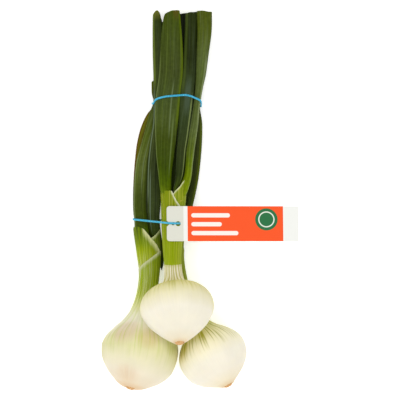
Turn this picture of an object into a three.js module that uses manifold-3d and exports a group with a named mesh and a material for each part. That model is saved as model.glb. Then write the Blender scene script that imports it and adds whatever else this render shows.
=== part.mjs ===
// A bunch of three large spring onions, lying on a flat surface: two bulbs side by side and a third on
// top of them, hollow green leaves cut to one length, two elastic bands, and a label tag that the lower
// band holds. Millimetres, +Z up, leaves towards +Y and bulbs towards -Y. X = 0 is the top bulb's middle,
// Y = 0 lies by the two low bulbs and Z = 0 is the surface; the last lines centre the bunch on the origin.
import * as THREE from "three";
import { mergeVertices } from "three/addons/utils/BufferGeometryUtils.js";
import Module from "manifold-3d";

const wasm = await Module();
wasm.setup();

// Driving dimensions
const GAP = 0.35; // clearance between pieces that touch
const BULB = { sides: 24, rows: 25, ribDepth: 0.22, sheathWall: 1.2, mouthFade: 30 };
const LEAF = { sides: 12, rows: 13, hollowRows: 7, wall: 1.0, tubeRadius: 10, cutFade: 12 };
const ROOT = { dishRadius: 3.8, dishDepth: 1.0, plateRadius: 3.2, plateHeight: 0.9, sides: 14, relief: 0.2 };
const BAND = { width: 1.8, thickness: 1.3, clearance: 0.7, sides: 6, directions: 60, shortestStep: 0.9 };
const TAG = { length: 96, width: 26, thickness: 0.5, corner: 2.2, left: -7.2, middle: 94.1, height: 41 };
const TAG_TILT = { pitch: 12, roll: 3, yaw: 0.6 }; // degrees: down the neck, down to the free end, and level
const SLOT = { mouth: 2.3, depth: 1.9, slit: 0.5 };
const HOLES = [{ at: 4.6, radius: 1.2 }, { at: 8.3, radius: 1.9 }]; // along the tag's slit

// Each onion's axis runs from the root to the sheath's mouth. Its outline is the radius at distances
// from the root along that axis. The sheath is flattened, most of all at the mouth, whose height is given
// as a share of its width; the mouth's edge slants and has a notch.
const ONIONS = {
  front: {
    axis: [
      [2.2, 7.8, 71.4], [0.5, 31, 62.4], [-1.7, 50, 53], [-2.9, 66, 43.8],
      [-3.1, 80, 36], [-2.8, 95, 30.2], [-2.5, 106, 27.6], [-2.3, 114, 26.4],
    ],
    outline: [
      [0, 3.9], [3, 8.4], [8.5, 15.3], [16, 22.4], [25.4, 26.9],
      [33, 26.1], [39, 21.4], [42.5, 14.4], [45.5, 9.6], [49, 7.5],
      [55, 6.5], [63, 6.2], [79, 7.1], [95, 8.1], [118, 9.4],
    ],
    flatness: 0.82,
    mouth: { depth: 11, height: 0.92, slant: 1, notch: 3, notchSide: 60 },
  },
  left: {
    axis: [
      [-33.7, -25.4, 30.4], [-27.2, 0, 27.1], [-25, 24, 23.6], [-21.6, 44, 20.2],
      [-20, 58, 18], [-20.6, 74, 15.6], [-21.6, 88, 13.8],
    ],
    outline: [
      [0, 6.2], [1.6, 10.2], [5.3, 15.7], [9, 20.2], [17, 26.2],
      [29.5, 28.2], [34, 27.3], [39, 24.8], [44, 20], [49.3, 14.4],
      [54, 10.8], [59, 9], [67, 7.6], [82, 7.3], [98, 8.6],
      [115, 9.9],
    ],
    flatness: 0.9,
    mouth: { depth: 12, height: 0.68, slant: -1, notch: 5, notchSide: 70 },
  },
  right: {
    axis: [
      [37.6, -23.4, 27.4], [25.2, 0, 23.9], [15.6, 20, 21], [6, 40, 17.6],
      [0.8, 55, 15], [-1.6, 70, 13], [-1.4, 86, 12],
    ],
    outline: [
      [0, 4.6], [1.4, 6.8], [4.6, 12.3], [8, 17.3], [15, 23.2],
      [25, 25.4], [31, 24.2], [35.5, 21.6], [40, 17.8], [44.5, 12.7],
      [49, 9.6], [54, 8], [62, 6.8], [76, 6.3], [92, 6.7],
      [112, 7.2],
    ],
    flatness: 0.9,
    mouth: { depth: 11, height: 0.75, slant: 1, notch: 3, notchSide: 60 },
  },
};

// Each leaf's stations: distance along Y, middle X, middle Z, half width, half thickness, and roll in
// degrees, which lifts the right-hand edge. They are listed from the top layer to the lowest, because an
// upper leaf presses its shape into those under it.
const LEAVES = {
  front_leaf_wide: {
    stations: [
      [105, -6.6, 29, 2.7, 4, 0], [113, -7.1, 27.6, 3.2, 4, 0], [119, -8, 26.6, 4.1, 4, 0],
      [130, -8.5, 25, 4.9, 3.5, 2], [143.5, -8.4, 23.4, 6.5, 3.2, 6], [156, -7.9, 21.8, 7.7, 3, 10],
      [168, -7.4, 20, 8.7, 2.8, 14], [185, -6.2, 18.4, 9.3, 2.6, 15], [203, -4.1, 17.6, 8.9, 2.6, 12],
      [218, -3.8, 17, 8.5, 2.7, 8], [234, -3.7, 16.4, 7.4, 2.8, 4], [248.4, -3.4, 16, 5.6, 2.9, 0],
    ],
    slant: 1.4,
    color: 0x46611f,
  },
  front_leaf_middle: {
    stations: [
      [106, -2.2, 28.6, 1.2, 3.4, 0], [118, -1, 27.2, 1.7, 3.4, 0], [128, 1.8, 25.6, 2.6, 3, 0],
      [135.8, 2.6, 24.6, 3.1, 2.8, 0], [148, 3.4, 23.2, 3.5, 2.7, 0], [156, 4.4, 22.4, 3.9, 2.6, 0],
      [168, 5.7, 21.6, 4.3, 2.6, 0], [180, 6.8, 21, 4.7, 2.6, -4], [193, 7.8, 20, 5, 2.5, -6],
      [203, 8.8, 18.8, 4.8, 2.4, -6], [234, 10.3, 14.6, 4.6, 2.4, 0], [248.2, 10.6, 13, 4.4, 2.4, 0],
    ],
    slant: 0.8,
    color: 0x2f471b,
  },
  front_leaf_bright: {
    stations: [
      [105, 2, 28.4, 2.7, 4, 0], [113, 3, 27.2, 3, 4, 0], [119, 4.6, 26.2, 3.9, 3.8, 0],
      [128, 7.9, 24.2, 2.9, 3.6, 0], [135.6, 8.9, 23, 2.7, 3.5, 0], [148, 9.9, 21, 3.2, 3.3, 0],
      [156, 10.9, 19.8, 3.4, 3.2, 0], [168, 12.8, 18, 3.1, 3.1, 0], [180, 14.3, 17, 2.7, 3.1, 0],
      [193, 16.2, 16.2, 3, 3, 0], [203, 17.5, 15.8, 3.9, 3, 0], [218, 18.8, 15, 4.6, 2.9, 0],
      [234, 20, 14.4, 5.5, 2.9, 0], [248.3, 20, 14, 5.8, 2.9, 0],
    ],
    slant: -0.3,
    color: 0x5d7a22,
  },
  left_leaf_dark: {
    stations: [
      [60, -10.8, 13.4, 0.9, 1.8, 0], [68, -11.6, 14.4, 2.2, 2.6, 0], [78, -13.6, 15.8, 3.6, 3.4, 0],
      [90, -16, 17, 4.2, 3.6, 0], [99, -16.8, 17.4, 4.4, 3.4, 0], [109, -16.6, 17.2, 5, 3.2, 0],
      [135.6, -16.2, 15.6, 5, 3, 0], [152, -14.6, 14.2, 5, 2.8, 0], [168, -12.4, 13, 5, 2.4, 0],
      [185, -11.8, 12.4, 5.2, 2.3, 0], [200, -12, 12.2, 5, 2.4, 0], [218, -12.6, 12, 4.9, 2.5, 0],
      [234, -13.6, 12, 4, 2.6, 0], [248.4, -14.6, 12, 2.9, 2.6, 0],
    ],
    slant: 0,
    color: 0x3a5220,
  },
  right_leaf_middle: {
    stations: [
      [77, -3.6, 14.6, 2.5, 2, 0], [86, -3.2, 15.2, 2.9, 2.2, 0], [98, -0.6, 16, 5, 2.7, 0],
      [112, 1.2, 16, 6.2, 3, 0], [135, 2.4, 15, 6.8, 3.2, 0], [156, 3.2, 13.6, 6.8, 3.6, 0],
      [185, 3.6, 12, 6.6, 3.8, 0], [215, 4.4, 10, 6.8, 3.2, 0], [247.4, 5.2, 7.6, 6.2, 2.6, 0],
    ],
    slant: 0.2,
    color: 0x2a4019,
  },
  right_leaf_outer: {
    stations: [
      [77, 1.3, 12.6, 1.9, 3, 0], [86, 2.3, 12.6, 2.2, 3, 0], [98, 6.6, 12.8, 3.4, 3, 0],
      [108, 8.2, 12.4, 3.8, 3, 0], [116, 9.6, 11.9, 4.3, 2.9, 0], [128, 11.6, 11.3, 4.5, 2.8, 0],
      [143.5, 13.2, 10.6, 4.6, 2.7, 0], [156, 14, 10.2, 4.6, 2.7, 0], [168, 14.2, 9.8, 4.4, 2.7, 0],
      [180, 13.4, 9.8, 3.5, 2.6, 0], [193, 14, 9.6, 3.8, 2.6, 0], [215, 15.4, 8.4, 4.2, 2.5, 0],
      [246.4, 16, 7, 4.4, 2.4, 0],
    ],
    slant: -0.4,
    color: 0x33491d,
  },
  left_leaf_broad: {
    stations: [
      [78, -23.6, 15, 3.4, 3.4, 0], [90, -24.6, 14, 3.9, 3.4, 0], [98.5, -26, 13.2, 4.9, 3.3, 0],
      [109, -26.6, 12.4, 4.9, 3.2, 0], [135.6, -25.2, 11, 4.7, 3, 0], [152, -21.6, 9.8, 4.4, 2.7, 0],
      [164, -18.1, 8.8, 4.5, 2.5, 0], [175, -15, 8, 4.6, 2.3, 0], [184, -12.2, 7.8, 4.6, 2.2, 0],
      [215, -11.5, 7.2, 5.8, 2.2, 0], [241, -10.8, 6.6, 6, 2.3, 0],
    ],
    slant: 0.6,
    color: 0x4a6526,
  },
  right_leaf_low: {
    stations: [
      [77, -3.2, 9.4, 3.1, 1.7, 0], [86, -2.8, 9, 3.3, 1.8, 0], [98, 0.6, 7.8, 5.4, 2.2, 0],
      [112, 3, 6.4, 6.6, 2.3, 0], [135, 4.8, 5.2, 7, 2.3, 0], [156, 5.2, 4.8, 7, 2.4, 0],
      [185, 4.6, 4.8, 7, 2.5, 0], [215, 4.6, 3.5, 7.4, 2.5, 0], [246.5, 5, 2.4, 7.2, 2.4, 0],
    ],
    slant: -0.6,
    color: 0x3a5220,
  },
  left_leaf_olive: {
    stations: [
      [78, -22, 9.2, 4.4, 1.7, 0], [88, -23, 8.4, 4.8, 1.8, 0], [99, -25.4, 7, 5.8, 2.3, 0],
      [110, -26, 6.2, 5.9, 2.4, 0], [128, -25.6, 5.4, 5.8, 2.4, 0], [148, -24, 4.6, 5.7, 2.2, 0],
      [157.5, -22.3, 4.2, 5.7, 2, 0], [165.4, -20, 4, 5.7, 1.8, 0], [173.7, -16.4, 3.8, 5.4, 1.6, 0],
      [181, -12.4, 3.7, 4.3, 1.5, 0], [189, -13, 3.7, 5.2, 1.5, 0], [198, -13.6, 3.6, 4.8, 1.5, 0],
    ],
    slant: -1.2,
    color: 0x645a12,
  },
};

// Where each band lies along Y: at the surface's height, and how far it leans for each millimetre of X, and
// of Z above the height where it bends.
const BANDS = {
  elastic_band_upper: { base: 180.7, leanX: -0.06, leanZ: 0.75, bendZ: 14 },
  elastic_band_lower: { base: 96.2, leanX: -0.04, leanZ: -0.06, bendZ: 10 },
};

const COLORS = { bulb: 0xf4edda, root: 0xd6925c, band: 0x48b4dc, tag: 0xe8eade };

function material(color, roughness) {
  return new THREE.MeshStandardMaterial({ color, roughness, metalness: 0 });
}

function solidOf(geometry) {
  const bare = geometry.index ? geometry.toNonIndexed() : geometry.clone();
  bare.deleteAttribute("normal");
  bare.deleteAttribute("uv");
  const merged = mergeVertices(bare, 1e-4);
  return new wasm.Manifold(
    new wasm.Mesh({
      numProp: 3,
      vertProperties: new Float32Array(merged.attributes.position.array),
      triVerts: new Uint32Array(merged.index.array),
    }),
  );
}

// The largest body of a solid as a geometry: a cut between neighbours may leave scraps.
function geometryOf(solid) {
  const bodies = solid.decompose().sort((a, b) => b.volume() - a.volume());
  const mesh = bodies[0].getMesh();
  return new THREE.BufferGeometry()
    .setAttribute("position", new THREE.BufferAttribute(new Float32Array(mesh.vertProperties), 3))
    .setIndex(new THREE.BufferAttribute(new Uint32Array(mesh.triVerts), 1));
}

function smoothstep(low, high, x) {
  return THREE.MathUtils.smoothstep(x, low, high);
}

// A row of a table at position s of its first column, on smooth curves through the listed rows.
function rowAt(table, s) {
  const last = table.length - 2;
  const k = Math.max(0, Math.min(last, table.findIndex((row) => row[0] > s) - 1));
  const i = s >= table[last + 1][0] ? last : k;
  const [from, to] = [table[i], table[i + 1]];
  const span = to[0] - from[0];
  const t = THREE.MathUtils.clamp((s - from[0]) / span, 0, 1);
  const slopeAt = (j, c) => {
    const a = table[Math.max(j - 1, 0)];
    const b = table[Math.min(j + 1, table.length - 1)];
    return ((b[c] - a[c]) / (b[0] - a[0])) * span;
  };
  return from.map((value, c) => {
    const [rise, start, end] = [to[c] - value, slopeAt(i, c), slopeAt(i + 1, c)];
    return value + t * start + t * t * (3 * rise - 2 * start - end) + t * t * t * (start + end - 2 * rise);
  });
}

// Moves each vertex of a geometry, given as x, y and z, to the place that the function returns.
function deform(geometry, place) {
  const position = geometry.attributes.position;
  for (let i = 0; i < position.count; i++) {
    position.setXYZ(i, ...place(position.getX(i), position.getY(i), position.getZ(i)));
  }
  return geometry;
}

// An onion's axis with the sideways and upward directions of its cross-sections. A distance below zero
// lies past the root, straight on.
function onionAxis({ axis }) {
  const curve = new THREE.CatmullRomCurve3(axis.map((p) => new THREE.Vector3(...p)), false, "centripetal");
  curve.arcLengthDivisions = 400;
  const length = curve.getLength();
  const up = new THREE.Vector3(0, 0, 1);
  const place = (x, distance, z) => {
    const u = THREE.MathUtils.clamp(distance / length, 0, 1);
    const tangent = curve.getTangentAt(u);
    const side = tangent.clone().cross(up).normalize();
    const upward = side.clone().cross(tangent);
    const point = curve.getPointAt(u).addScaledVector(tangent, distance - u * length);
    return point.addScaledVector(side, x).addScaledVector(upward, z).toArray();
  };
  return { length, place };
}

// The bulb and its sheath as one solid of revolution, bent along the axis. Ribs run up the neck, a dish
// in the base takes the root plate, and the sheath's mouth is a cup that holds the leaf bases.
function onionGeometry(onion) {
  const { length, place } = onionAxis(onion);
  const { depth, height, slant, notch, notchSide } = onion.mouth;
  const outline = onion.outline.filter(([d]) => d < length - 4);
  const mouthRadius = rowAt(onion.outline, length)[1];
  const corners = [...outline, [length, mouthRadius]].map(([d, r]) => new THREE.Vector2(r, d));
  const side = new THREE.SplineCurve(corners);
  const cup = [length, length - depth / 2, length - depth].map(
    (d) => new THREE.Vector2(rowAt(onion.outline, d)[1] - BULB.sheathWall, d),
  );
  const dish = [new THREE.Vector2(0, ROOT.dishDepth), new THREE.Vector2(ROOT.dishRadius, ROOT.dishDepth)];
  const cupFloor = new THREE.Vector2(0, length - depth);
  const profile = [...dish, ...side.getSpacedPoints(BULB.rows), ...cup, cupFloor];
  return deform(new THREE.LatheGeometry(profile, BULB.sides), (x, distance, z) => {
    const radius = Math.hypot(x, z);
    const angle = Math.atan2(z, x);
    const neck = smoothstep(40, 62, distance);
    const rib = radius > 0.1 ? 1 + (neck * BULB.ribDepth * Math.cos((BULB.sides / 2) * angle)) / radius : 1;
    const upNeck = 1 - (1 - onion.flatness) * smoothstep(0.45 * length, length, distance);
    const flat = upNeck * (1 - (1 - height) * smoothstep(length - BULB.mouthFade, length, distance));
    const edge = smoothstep(length - depth, length, distance);
    const inNotch = Math.max(0, Math.cos(angle - THREE.MathUtils.degToRad(notchSide))) ** 4;
    const rim = edge * Math.min(1, radius / 3) * (slant * Math.cos(angle + Math.PI) - notch * inNotch);
    return place(x * rib, distance + rim, z * rib * flat);
  });
}

// The root plate, a low button with the relief of its trimmed roots.
function rootPlateGeometry(onion) {
  const { place } = onionAxis(onion);
  const floor = ROOT.dishDepth - GAP;
  const top = floor - ROOT.dishDepth - ROOT.plateHeight;
  const profile = [[0, top], [0.45, top], [0.8, 0.7 * top], [1, 0.1 * top], [1, floor], [0, floor]];
  const points = profile.map(([r, d]) => new THREE.Vector2(r * ROOT.plateRadius, d));
  return deform(new THREE.LatheGeometry(points, ROOT.sides), (x, distance, z) => {
    const raised = distance < 0 ? ROOT.relief * Math.cos((ROOT.sides / 2) * Math.atan2(z, x)) : 0;
    return place(x, distance - raised * Math.min(1, Math.hypot(x, z)), z);
  });
}

// A leaf is a tube of one radius, turned on a lathe, whose rings are moved to the leaf's sections. A ring
// that lies inside the tube's radius stays as far inside the leaf's skin. grow thickens a whole leaf.
function leafGeometry({ stations, slant }, { hollow = true, grow = 0 } = {}) {
  const [start, end] = [stations[0][0] - grow, stations.at(-1)[0] + grow];
  const rim = LEAF.tubeRadius - LEAF.wall;
  const along = (from, to, rows) => [...Array(rows + 1).keys()].map((i) => from + ((to - from) * i) / rows);
  const hollowEnd = start + 0.35 * (end - start);
  const skin = along(start, end, LEAF.rows).map((y) => [LEAF.tubeRadius, y]);
  const inner = hollow ? along(end, hollowEnd, LEAF.hollowRows).map((y) => [rim, y]) : [];
  const profile = [[0, start], ...skin, ...inner, [0, hollow ? hollowEnd : end]];
  const tube = new THREE.LatheGeometry(profile.map((p) => new THREE.Vector2(...p)), LEAF.sides);
  return deform(tube, (x, y, z) => {
    const radius = Math.hypot(x, z);
    const inset = LEAF.tubeRadius - radius - grow;
    const [, middleX, middleZ, halfWidth, halfThickness, roll] = rowAt(stations, y);
    const across = radius > 0 ? (x / radius) * Math.max(0, halfWidth - inset) : 0;
    const upward = radius > 0 ? (z / radius) * Math.max(0, halfThickness - inset) : 0;
    const cut = slant * (across / halfWidth) * smoothstep(end - LEAF.cutFade, end, y);
    const [cos, sin] = [Math.cos(THREE.MathUtils.degToRad(roll)), Math.sin(THREE.MathUtils.degToRad(roll))];
    return [middleX + across * cos - upward * sin, y + cut, middleZ + across * sin + upward * cos];
  });
}

// Where a band's surface meets the meshes, as points with no Y.
function pointsUnder(bandY, meshes) {
  const found = [];
  const [a, b] = [new THREE.Vector3(), new THREE.Vector3()];
  for (const { geometry } of meshes) {
    const { index } = geometry;
    const position = geometry.attributes.position;
    for (let i = 0; i < index.count; i++) {
      const next = i % 3 === 2 ? i - 2 : i + 1;
      a.fromBufferAttribute(position, index.getX(i));
      b.fromBufferAttribute(position, index.getX(next));
      const [da, db] = [a.y - bandY(a.x, a.z), b.y - bandY(b.x, b.z)];
      if (da < 0 !== db < 0) found.push(a.clone().lerp(b, da / (da - db)).setY(0));
    }
  }
  return found;
}

// A tight band: in each direction round it, it lies just outside the furthest point that it holds, so it
// runs straight from one to the next.
function bandGeometry({ base, leanX, leanZ, bendZ }, meshes, extraPoints = []) {
  const bandY = (x, z) => base + leanX * x + leanZ * Math.max(0, z - bendZ);
  const held = [...pointsUnder(bandY, meshes), ...extraPoints.map((p) => p.clone().setY(0))];
  const rings = [];
  for (let i = 0; i < BAND.directions; i++) {
    const angle = (2 * Math.PI * i) / BAND.directions;
    const outward = new THREE.Vector3(Math.cos(angle), 0, -Math.sin(angle));
    const furthest = held.reduce((best, p) => (p.dot(outward) > best.dot(outward) ? p : best));
    const centre = furthest.clone().addScaledVector(outward, BAND.clearance + BAND.thickness / 2);
    centre.y = bandY(centre.x, centre.z);
    const across = new THREE.Vector3(-leanX, 1, centre.z > bendZ ? -leanZ : 0).normalize();
    const apart = rings.length ? centre.distanceTo(rings.at(-1).centre) : Infinity;
    if (apart > BAND.shortestStep) rings.push({ centre, outward, across });
  }
  if (rings.at(-1).centre.distanceTo(rings[0].centre) < BAND.shortestStep) rings.pop();
  return deform(new THREE.TorusGeometry(2, 1, BAND.sides, rings.length), (x, y, z) => {
    const turn = Math.atan2(y, x) / (2 * Math.PI);
    const { centre, outward, across } = rings[Math.round((turn + 1) * rings.length) % rings.length];
    const place = centre.clone().addScaledVector(outward, (Math.hypot(x, y) - 2) * (BAND.thickness / 2));
    return place.addScaledVector(across, z * (BAND.width / 2)).toArray();
  });
}

// The tag lies flat with rounded corners at its left end, where a notch leads into a slit with two round
// holes that the band is pressed through.
function tagGeometry() {
  const { length, width, thickness, corner } = TAG;
  const half = width / 2;
  const shape = new THREE.Shape();
  shape.moveTo(length, -half);
  shape.lineTo(length, half);
  shape.lineTo(corner, half);
  shape.absarc(corner, half - corner, corner, Math.PI / 2, Math.PI);
  shape.lineTo(0, SLOT.mouth);
  shape.lineTo(SLOT.depth, SLOT.slit);
  const [first, last] = HOLES;
  const open = (hole) => Math.asin(SLOT.slit / hole.radius);
  shape.absarc(first.at, 0, first.radius, Math.PI - open(first), open(first), true);
  shape.absarc(last.at, 0, last.radius, Math.PI - open(last), open(last) - Math.PI, true);
  shape.absarc(first.at, 0, first.radius, -open(first), open(first) - Math.PI, true);
  shape.lineTo(SLOT.depth, -SLOT.slit);
  shape.lineTo(0, -SLOT.mouth);
  shape.absarc(corner, corner - half, corner, Math.PI, 1.5 * Math.PI);
  const flatPlate = { depth: thickness, bevelEnabled: false, curveSegments: 8 };
  return new THREE.ExtrudeGeometry(shape, flatPlate).translate(0, 0, -thickness / 2);
}

const bunch = new THREE.Group();

function addMesh(name, geometry, finish) {
  const mesh = new THREE.Mesh(geometry, finish);
  mesh.name = name;
  bunch.add(mesh);
  return mesh;
}

// An upper leaf presses its shape into the lower ones, and all leaves press into the sheaths round them.
const pressed = [];
const leaves = Object.entries(LEAVES).map(([name, leaf]) => {
  const solid = pressed.reduce((rest, upper) => rest.subtract(upper), solidOf(leafGeometry(leaf)));
  pressed.push(solidOf(leafGeometry(leaf, { hollow: false, grow: GAP })));
  return addMesh(name, geometryOf(solid), material(leaf.color, 0.55));
});

// The surface that the bunch lies on presses a flat spot into each low bulb.
const ground = solidOf(new THREE.BoxGeometry(400, 400, 20).translate(0, 100, -10));
const onions = Object.entries(ONIONS).map(([name, onion]) => {
  const onGround = solidOf(onionGeometry(onion)).subtract(ground);
  const solid = pressed.reduce((rest, leaf) => rest.subtract(leaf), onGround);
  addMesh(`root_plate_${name}`, geometryOf(solidOf(rootPlateGeometry(onion))), material(COLORS.root, 0.8));
  return addMesh(`onion_${name}`, geometryOf(solid), material(COLORS.bulb, 0.5));
});

const tag = addMesh("label_tag", tagGeometry(), material(COLORS.tag, 0.6));
tag.position.set(TAG.left, TAG.middle, TAG.height);
tag.rotation.set(...[-TAG_TILT.pitch, TAG_TILT.roll, TAG_TILT.yaw].map(THREE.MathUtils.degToRad));
tag.updateMatrixWorld();

// The lower band crosses the tag's left end and then dips through the last hole of its slit.
const lastHole = HOLES[1];
const overTag = [SLOT.depth, lastHole.at - lastHole.radius].map((x) =>
  tag.localToWorld(new THREE.Vector3(x, 0, TAG.thickness / 2)),
);
const bandFinish = material(COLORS.band, 0.5);
const aroundLeaves = bandGeometry(BANDS.elastic_band_upper, leaves);
const aroundNecks = bandGeometry(BANDS.elastic_band_lower, [...leaves, ...onions], overTag);
addMesh("elastic_band_upper", aroundLeaves, bandFinish);
addMesh("elastic_band_lower", aroundNecks, bandFinish);

const box = new THREE.Box3().setFromObject(bunch);
const middle = box.getCenter(new THREE.Vector3());
bunch.position.set(-middle.x, -middle.y, -box.min.z);

export default bunch;
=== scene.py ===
from functools import partial
import bpy
import numpy as np
from mathutils import Matrix


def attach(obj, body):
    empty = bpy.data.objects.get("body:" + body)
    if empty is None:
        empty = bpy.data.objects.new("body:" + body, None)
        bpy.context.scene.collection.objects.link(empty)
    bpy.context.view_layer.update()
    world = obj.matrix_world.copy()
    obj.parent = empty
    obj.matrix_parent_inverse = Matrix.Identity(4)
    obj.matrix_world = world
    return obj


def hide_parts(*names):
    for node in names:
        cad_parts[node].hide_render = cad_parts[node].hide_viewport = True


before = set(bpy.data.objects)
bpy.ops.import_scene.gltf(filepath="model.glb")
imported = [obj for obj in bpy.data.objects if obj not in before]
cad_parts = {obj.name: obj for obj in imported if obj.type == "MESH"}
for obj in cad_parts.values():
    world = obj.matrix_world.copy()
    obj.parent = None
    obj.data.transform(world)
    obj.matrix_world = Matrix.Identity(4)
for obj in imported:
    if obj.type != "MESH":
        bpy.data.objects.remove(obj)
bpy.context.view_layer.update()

# A bunch of three large spring onions with two elastic bands and a label tag, seen from straight above.
# Shapes are worked out in the millimetres of their source and moved to the frame's metres at the end.

bunchShift = np.array([-16.995, -111.347, 0.0])  # from the source's axes to the centred frame, mm
mm = 0.001
pieces = []


def toFrame(points):
    # source millimetres plus the bunch's shift, in metres
    return (np.asarray(points, float) + bunchShift) * mm


def smooth(low, high, x):
    # 0 below low, 1 above high, and 3t^2 - 2t^3 between them
    t = np.clip((x - low) / (high - low), 0, 1)
    return t * t * (3 - 2 * t)


def around(count):
    # a full turn in even steps, as one row of angles
    return np.linspace(0, 2 * np.pi, count, endpoint=False)[None, :]


def triples(*parts):
    # three numbers or arrays, spread over one grid and set side by side at each of its points
    return np.stack(np.broadcast_arrays(*parts), -1)


def tableAt(table, s):
    # rows of a table at places s of its first column: a cubic between two rows, with each row's slope
    # taken from its two neighbours
    rows = np.asarray(table, float)
    i = np.clip(np.searchsorted(rows[:, 0], s, side="right") - 1, 0, len(rows) - 2)
    before, after = np.maximum(i - 1, 0), np.minimum(i + 2, len(rows) - 1)
    span = (rows[i + 1, 0] - rows[i, 0])[..., None]
    t = np.clip((s - rows[i, 0])[..., None] / span, 0, 1)
    rise = rows[i + 1] - rows[i]
    start = (rows[i + 1] - rows[before]) / (rows[i + 1, 0] - rows[before, 0])[..., None] * span
    end = (rows[after] - rows[i]) / (rows[after, 0] - rows[i, 0])[..., None] * span
    return rows[i] + t * start + t**2 * (3 * rise - 2 * start - end) + t**3 * (start + end - 2 * rise)


def curveThrough(points, perSpan=60):
    # a centripetal Catmull-Rom curve: between two points, a cubic whose end slopes weigh the three
    # neighbouring chords by the square root of their lengths
    p = np.asarray(points, float)
    p = np.vstack([2 * p[0] - p[1], p, 2 * p[-1] - p[-2]])
    gap = np.linalg.norm(np.diff(p, axis=0), axis=1) ** 0.5
    a, b, c, d = p[:-3, None], p[1:-2, None], p[2:-1, None], p[3:, None]
    ga, gb, gc = (gap[i : len(gap) - 2 + i, None, None] for i in range(3))
    leave = ((b - a) / ga - (c - a) / (ga + gb) + (c - b) / gb) * gb
    arrive = ((c - b) / gb - (d - b) / (gb + gc) + (d - c) / gc) * gb
    t = np.linspace(0, 1, perSpan + 1)[None, :, None]
    q = b + t * leave + t**2 * (3 * (c - b) - 2 * leave - arrive) + t**3 * (2 * (b - c) + leave + arrive)
    return np.vstack([q[:, :-1].reshape(-1, p.shape[1]), q[-1, -1]])


def lengthsAlong(line):
    # the length of a line of points up to each of them: the sum of the steps before it
    return np.concatenate([[0], np.cumsum(np.linalg.norm(np.diff(line, axis=0), axis=1))])


def evenSteps(line, count):
    # the same line with its points at equal steps of length
    at = lengthsAlong(line)
    wanted = np.linspace(0, at[-1], count)
    return np.stack([np.interp(wanted, at, line[:, k]) for k in range(line.shape[1])], -1)


def ringMesh(name, rings, material, values=(), looped=False):
    # Joins rings of points, an array (ring, point, xyz), with four-sided faces. Each ring closes on itself.
    # The end rings close on a middle point, or on each other if looped. values are (name, array) point
    # attributes with three numbers a point.
    rows, columns = rings.shape[:2]
    points = rings.reshape(-1, 3)
    i = np.arange(rows if looped else rows - 1)[:, None]
    j = np.arange(columns)[None, :]
    a, b = i * columns + j, i * columns + (j + 1) % columns
    c, d = ((i + 1) % rows) * columns + (j + 1) % columns, ((i + 1) % rows) * columns + j
    quads = np.stack([a, b, c, d], -1).reshape(-1, 4)
    fans = np.zeros((0, 3), int)
    if not looped:
        points = np.vstack([points, rings[0].mean(0), rings[-1].mean(0)])
        first, last, j = rows * columns, (rows - 1) * columns, np.arange(columns)
        start = np.stack([(j + 1) % columns, j, np.full(columns, first)], -1)
        end = np.stack([last + j, last + (j + 1) % columns, np.full(columns, first + 1)], -1)
        fans = np.vstack([start, end])
    halves = np.vstack([quads[:, [0, 1, 2]], quads[:, [0, 2, 3]], fans])
    corners = points[halves]
    inside = np.einsum("ij,ij->i", corners[:, 0], np.cross(corners[:, 1], corners[:, 2])).sum()
    if inside < 0:  # the faces point outwards
        quads, fans = quads[:, ::-1], fans[:, ::-1]
    mesh = bpy.data.meshes.new(name)
    mesh.from_pydata(toFrame(points).tolist(), [], quads.tolist() + fans.tolist())
    mesh.polygons.foreach_set("use_smooth", np.ones(len(mesh.polygons), bool))
    for label, value in values:
        flat = np.broadcast_to(value, rings.shape).reshape(-1, 3)
        if not looped:
            flat = np.vstack([flat, flat[:1], flat[-1:]])
        mesh.attributes.new(label, "FLOAT_VECTOR", "POINT").data.foreach_set("vector", flat.ravel())
    mesh.materials.append(material)
    mesh.update()
    piece = bpy.data.objects.new(name, mesh)
    bpy.context.scene.collection.objects.link(piece)
    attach(piece, "root")
    pieces.append(piece)
    return piece


def linear(colour):
    # an sRGB hex colour as linear red, green, blue and alpha
    parts = np.array([int(colour[k : k + 2], 16) for k in (0, 2, 4)]) / 255
    return (*np.where(parts <= 0.04045, parts / 12.92, ((parts + 0.055) / 1.055) ** 2.4), 1.0)


def setInputs(node, inputs):
    # Inputs are a list in the order of the node's sockets in use, or a dictionary by name. A socket is
    # linked, a node is linked by its first output in use, and anything else is the input's value.
    if not isinstance(inputs, dict):
        inputs = dict(zip([k for k, socket in enumerate(node.inputs) if socket.enabled], inputs))
    for key, value in inputs.items():
        if isinstance(value, bpy.types.Node):
            value = next(socket for socket in value.outputs if socket.enabled)
        if isinstance(value, bpy.types.NodeSocket):
            node.id_data.links.new(value, node.inputs[key])
        else:
            node.inputs[key].default_value = value


modeSettings = {"Mix": "data_type", "MapRange": "interpolation_type", "Mapping": "vector_type"}


def addNode(tree, kind, inputs=(), stops=(), **settings):
    # One shader node: its kind, with its operation or mode after a space, its inputs, the stops of its
    # ramp, and other settings. A map range's inputs are the value, the range it has and the one it gets.
    kind, _, mode = kind.partition(" ")
    made = tree.nodes.new("ShaderNode" + kind)
    if mode:
        settings[modeSettings.get(kind, "operation")] = mode
    for key, value in settings.items():
        setattr(made, key, value)
    for k, (place, colour) in enumerate(stops):
        if k == 0:
            made.color_ramp.elements.remove(made.color_ramp.elements[1])
            made.color_ramp.elements[0].position = place
        else:
            made.color_ramp.elements.new(place)
        made.color_ramp.elements[k].color = linear(colour)
    setInputs(made, inputs)
    return made


def newMaterial(name, inputs):
    # a material, the function that adds a node to it, and its one shader with the fixed values
    material = bpy.data.materials.new(name)
    material.use_nodes = True
    shader = material.node_tree.nodes["Principled BSDF"]
    setInputs(shader, inputs)
    return material, partial(addNode, material.node_tree), shader


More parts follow.
